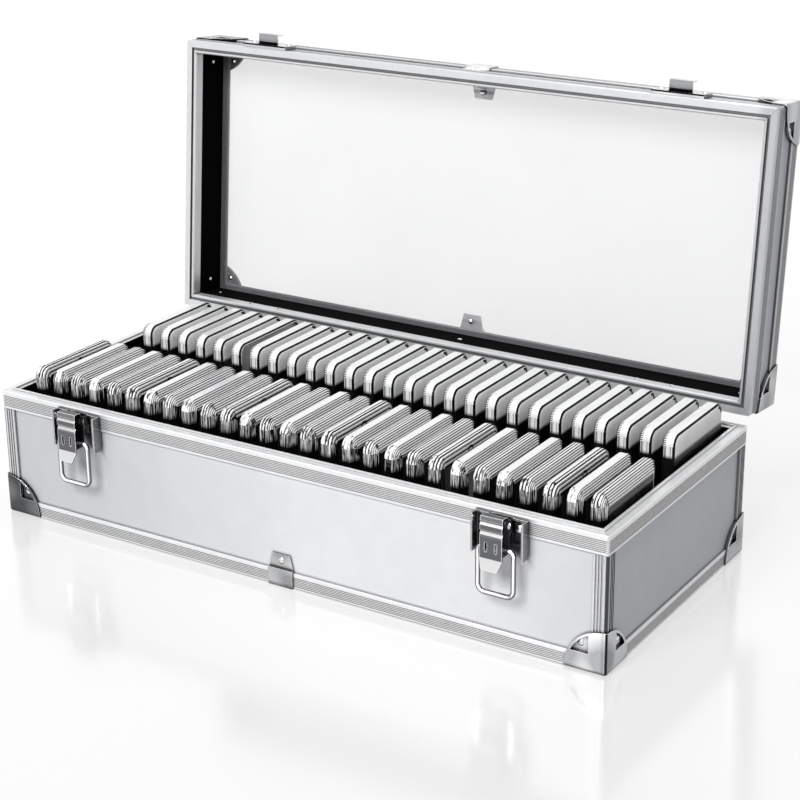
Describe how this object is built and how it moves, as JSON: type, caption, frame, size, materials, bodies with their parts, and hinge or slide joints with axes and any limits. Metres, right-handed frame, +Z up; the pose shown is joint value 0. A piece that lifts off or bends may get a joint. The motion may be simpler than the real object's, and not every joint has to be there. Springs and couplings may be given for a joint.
{
  "type": "coin display case",
  "caption": "Long aluminium-framed display case with a windowed lid on hinges, two lever latches and slotted foam holding coin slabs upright in two rows.",
  "frame": {"origin": "centre of the underside of the base, on the surface the case stands on", "axes": "+X to the right along the front, the long way; +Y to the rear, the hinge side; +Z up"},
  "size_m": [0.4018, 0.2407, 0.262],
  "materials": {
    "facing_board": "thin board with a satin aluminium-look facing",
    "floor_board": "thin board with a black facing",
    "rail_aluminium": "satin anodised, ribbed",
    "plated_steel": "bright plated pressed steel",
    "rivet_steel": "bright plated",
    "black_lining": "matt black sheet",
    "black_foam": "dense black foam",
    "clear_slab": "clear polished plastic",
    "white_insert": "matt white",
    "coin_silver": "struck metal",
    "window_clear": "clear acrylic sheet",
    "gasket_grey": "dark grey soft strip"
  },
  "bodies": {
    "base": {"floor_board": "floor_board", "front_panel": "facing_board", "rear_panel": "facing_board", "left_panel": "facing_board", "right_panel": "facing_board", "front_rim_rail": "rail_aluminium", "rear_rim_rail": "rail_aluminium", "left_rim_rail": "rail_aluminium", "right_rim_rail": "rail_aluminium", "front_bottom_rail": "rail_aluminium", "rear_bottom_rail": "rail_aluminium", "left_bottom_rail": "rail_aluminium", "right_bottom_rail": "rail_aluminium", "base_corner_posts": "rail_aluminium", "base_corner_caps": "plated_steel", "base_cap_rivets": "rivet_steel", "base_edge_clips": "plated_steel", "base_clip_rivets": "rivet_steel", "base_lining": "black_lining", "floor_pad": "black_foam", "row_divider": "black_foam", "front_foam_ribs": "black_foam", "rear_foam_ribs": "black_foam", "front_slabs": "clear_slab", "rear_slabs": "clear_slab", "latch_plates": "plated_steel", "latch_pins": "rivet_steel", "latch_rivets": "rivet_steel", "base_hinge_leaves": "plated_steel", "hinge_pins": "rivet_steel", "base_hinge_rivets": "rivet_steel"},
    "lid": {"lid_front_panel": "facing_board", "lid_rear_panel": "facing_board", "lid_left_panel": "facing_board", "lid_right_panel": "facing_board", "lid_rim_rails": "rail_aluminium", "lid_top_rails": "rail_aluminium", "lid_corner_posts": "rail_aluminium", "lid_corner_caps": "plated_steel", "lid_cap_rivets": "rivet_steel", "lid_edge_clips": "plated_steel", "lid_clip_rivets": "rivet_steel", "window_pane": "window_clear", "window_gasket": "gasket_grey", "lid_lining": "black_lining", "catch_plates": "plated_steel", "catch_rivets": "rivet_steel", "lid_hinge_leaves": "plated_steel", "lid_hinge_rivets": "rivet_steel"},
    "left_lever": {"left_lever": "plated_steel"},
    "right_lever": {"right_lever": "plated_steel"},
    "left_bail": {"left_bail": "rivet_steel"},
    "right_bail": {"right_bail": "rivet_steel"},
    "front_lift_slab": {"front_lift_shells": "clear_slab", "front_lift_insert": "white_insert", "front_lift_coin": "coin_silver"},
    "rear_lift_slab": {"rear_lift_shells": "clear_slab", "rear_lift_insert": "white_insert", "rear_lift_coin": "coin_silver"}
  },
  "joints": [
    {"name": "lid_hinge", "type": "hinge", "parent": "base", "child": "lid", "pos_m": [0, 0.0895, 0.0787], "axis": [-1, 0, 0], "range_deg": [-95.3, 0]},
    {"name": "left_lever_pivot", "type": "hinge", "parent": "base", "child": "left_lever", "pos_m": [-0.14, -0.093, 0.0733], "axis": [1, 0, 0], "range_deg": [-72, 0]},
    {"name": "left_bail_pivot", "type": "hinge", "parent": "left_lever", "child": "left_bail", "pos_m": [-0.14, -0.0935, 0.0597], "axis": [-1, 0, 0], "range_deg": [0, 186]},
    {"name": "right_lever_pivot", "type": "hinge", "parent": "base", "child": "right_lever", "pos_m": [0.14, -0.093, 0.0733], "axis": [1, 0, 0], "range_deg": [-72, 0]},
    {"name": "right_bail_pivot", "type": "hinge", "parent": "right_lever", "child": "right_bail", "pos_m": [0.14, -0.0935, 0.0597], "axis": [-1, 0, 0], "range_deg": [0, 186]},
    {"name": "front_slab_lift", "type": "slide", "parent": "base", "child": "front_lift_slab", "axis": [0, 0, 1], "range_m": [0, 0.085]},
    {"name": "rear_slab_lift", "type": "slide", "parent": "base", "child": "rear_lift_slab", "axis": [0, 0, 1], "range_m": [0, 0.085]}
  ]
}
